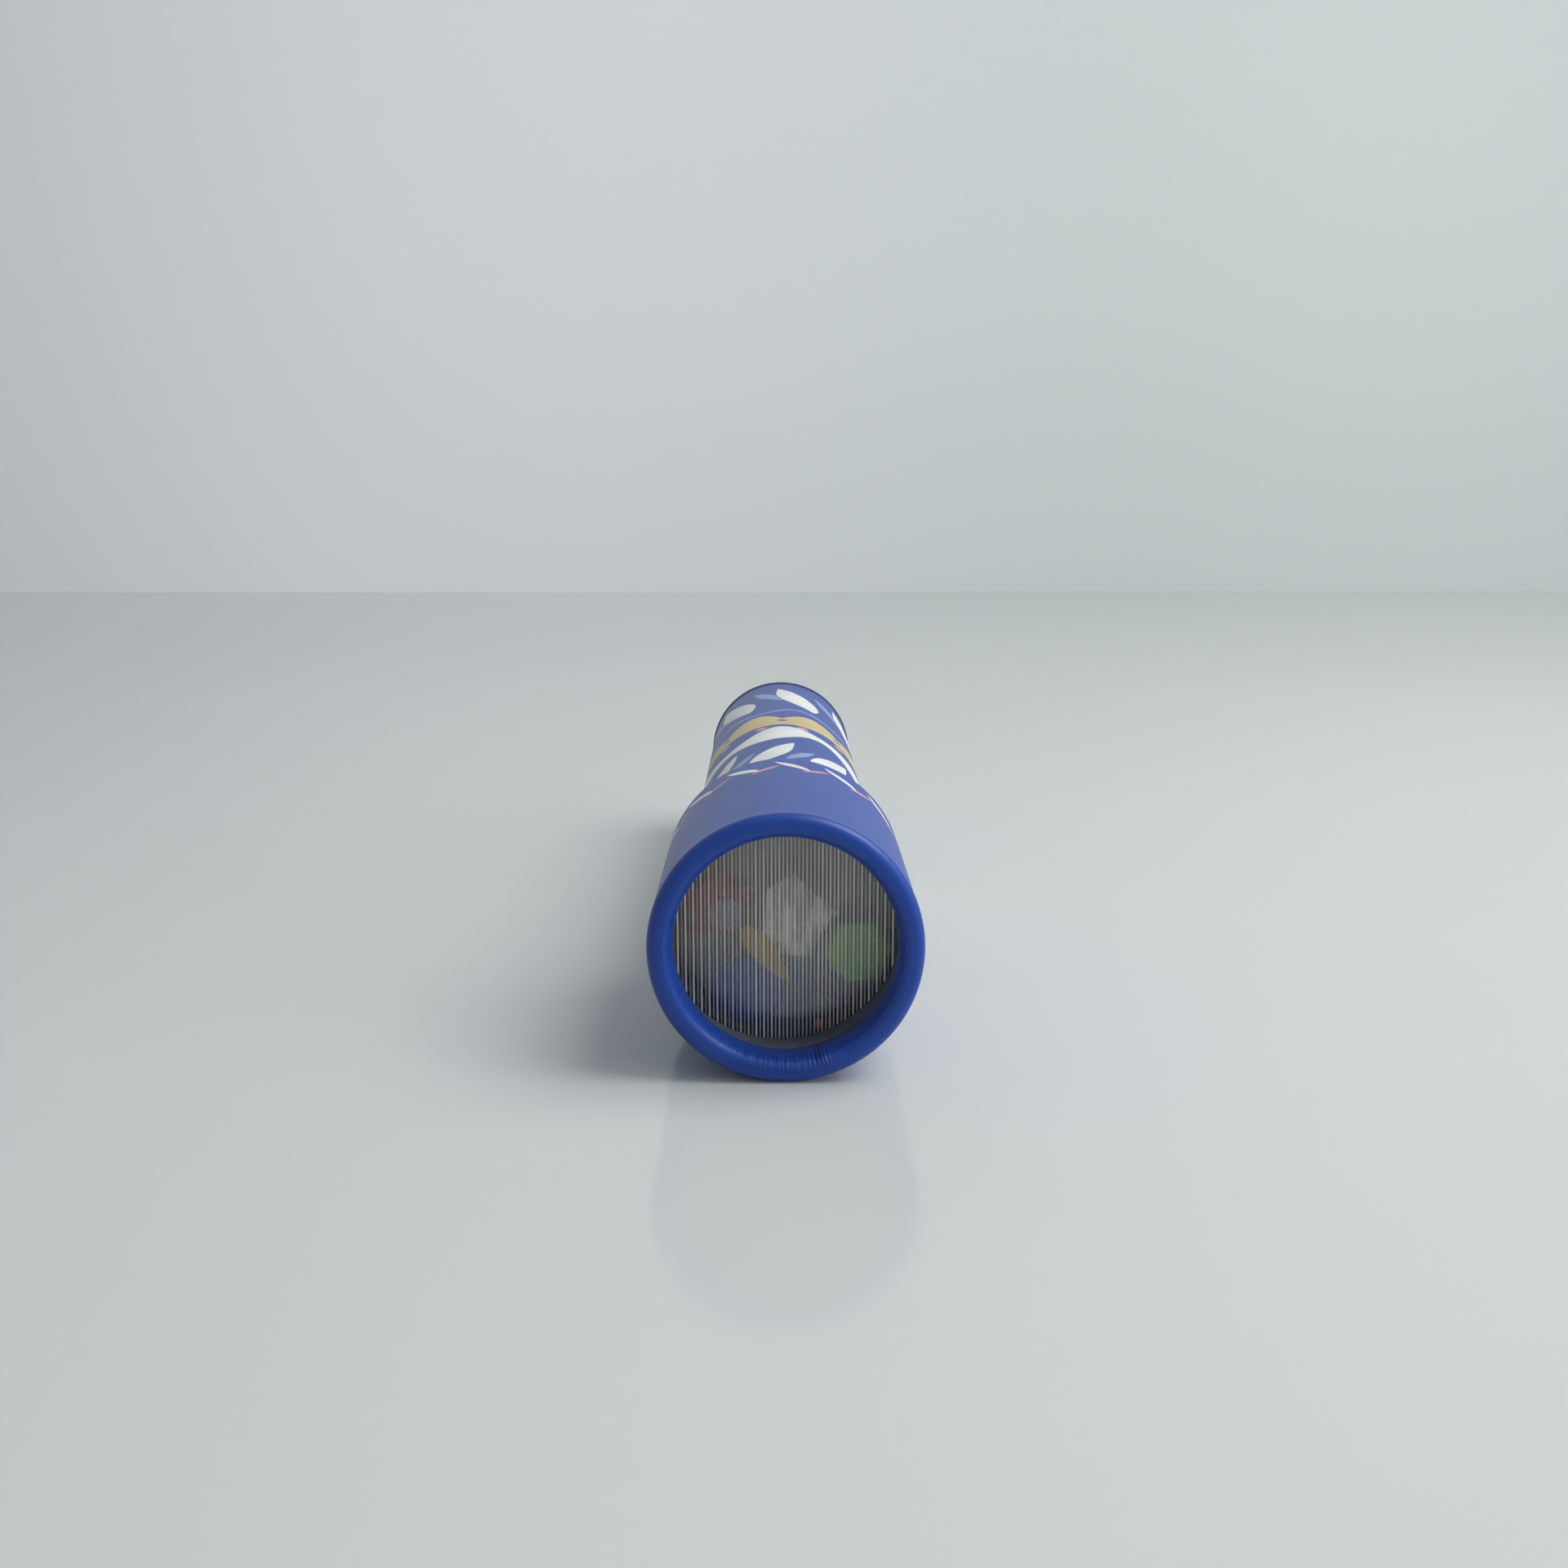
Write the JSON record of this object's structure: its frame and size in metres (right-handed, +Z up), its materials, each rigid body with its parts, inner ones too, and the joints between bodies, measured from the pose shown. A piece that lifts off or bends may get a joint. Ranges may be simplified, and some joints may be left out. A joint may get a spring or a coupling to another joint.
{
  "type": "kaleidoscope",
  "caption": "Card kaleidoscope: a long tube with mirrors and an eyepiece, and a wider turning barrel whose ribbed window covers a cell of loose coloured chips.",
  "frame": {"origin": "on the surface that the barrel's bead rests on, under the middle of the whole length", "axes": "+Z up, +Y along the tube's axis from the window end towards the eyepiece, +X to the right seen from the window end"},
  "size_m": [0.0516, 0.2142, 0.0516],
  "materials": {
    "blue_card": "royal-blue paper on board, low sheen",
    "grey_board": "bare grey board",
    "kraft_board": "bare brown board",
    "printed_paper": "printed paper, low sheen",
    "paper_tape": "paper tape",
    "clear_plastic": "clear polystyrene",
    "mirror_glass": "silvered glass strip",
    "black_foam": "black foam",
    "red_plastic": "translucent plastic",
    "lilac_plastic": "translucent plastic",
    "yellow_plastic": "translucent plastic",
    "green_plastic": "translucent plastic",
    "blue_plastic": "translucent plastic",
    "violet_plastic": "translucent plastic",
    "orange_plastic": "translucent plastic"
  },
  "bodies": {
    "tube": {"body_tube": "kraft_board", "body_wrap": "printed_paper", "stop_ring": "grey_board", "tube_window": "clear_plastic", "mirror_bottom": "mirror_glass", "mirror_left": "mirror_glass", "mirror_right": "mirror_glass", "tape_band_front": "paper_tape", "tape_band_rear": "paper_tape", "mirror_support_front": "black_foam", "mirror_support_rear": "black_foam", "lens_holder": "grey_board", "eye_lens": "clear_plastic", "eyepiece_disc": "blue_card"},
    "barrel": {"barrel_tube": "blue_card", "window_ring": "grey_board", "ribbed_window": "clear_plastic", "cell_spacer": "grey_board", "cell_back_window": "clear_plastic", "cell_back_ring": "grey_board", "bearing_sleeve": "kraft_board"},
    "lilac_round": {"chip_lilac_round": "lilac_plastic"},
    "yellow_drop": {"chip_yellow_drop": "yellow_plastic"},
    "red_star": {"chip_red_star": "red_plastic"},
    "clear_crystal": {"chip_clear_crystal": "clear_plastic"},
    "green_hexagon": {"chip_green_hexagon": "green_plastic"},
    "blue_round": {"chip_blue_round": "blue_plastic"},
    "violet_triangle": {"chip_violet_triangle": "violet_plastic"},
    "orange_bead": {"bead_orange": "orange_plastic"},
    "clear_bead": {"bead_clear": "clear_plastic"}
  },
  "joints": [
    {"name": "barrel_turn", "type": "hinge", "parent": "tube", "child": "barrel", "pos_m": [0, -0.0786, 0.02577], "axis": [0, 1, 0], "continuous": true},
    {"name": "lilac_round_tumble", "type": "hinge", "parent": "barrel", "child": "lilac_round", "pos_m": [0, -0.09, 0.02577], "axis": [0, 1, 0], "continuous": true},
    {"name": "yellow_drop_tumble", "type": "hinge", "parent": "barrel", "child": "yellow_drop", "pos_m": [0, -0.09, 0.02577], "axis": [0, 1, 0], "continuous": true},
    {"name": "red_star_tumble", "type": "hinge", "parent": "barrel", "child": "red_star", "pos_m": [0, -0.09, 0.02577], "axis": [0, 1, 0], "continuous": true},
    {"name": "clear_crystal_tumble", "type": "hinge", "parent": "barrel", "child": "clear_crystal", "pos_m": [0, -0.09, 0.02577], "axis": [0, 1, 0], "continuous": true},
    {"name": "green_hexagon_tumble", "type": "hinge", "parent": "barrel", "child": "green_hexagon", "pos_m": [0, -0.09, 0.02577], "axis": [0, 1, 0], "continuous": true},
    {"name": "blue_round_tumble", "type": "hinge", "parent": "barrel", "child": "blue_round", "pos_m": [0, -0.09, 0.02577], "axis": [0, 1, 0], "continuous": true},
    {"name": "violet_triangle_tumble", "type": "hinge", "parent": "barrel", "child": "violet_triangle", "pos_m": [0, -0.09, 0.02577], "axis": [0, 1, 0], "continuous": true},
    {"name": "orange_bead_tumble", "type": "hinge", "parent": "barrel", "child": "orange_bead", "pos_m": [0, -0.09, 0.02577], "axis": [0, 1, 0], "continuous": true},
    {"name": "clear_bead_tumble", "type": "hinge", "parent": "barrel", "child": "clear_bead", "pos_m": [0, -0.09, 0.02577], "axis": [0, 1, 0], "continuous": true}
  ]
}
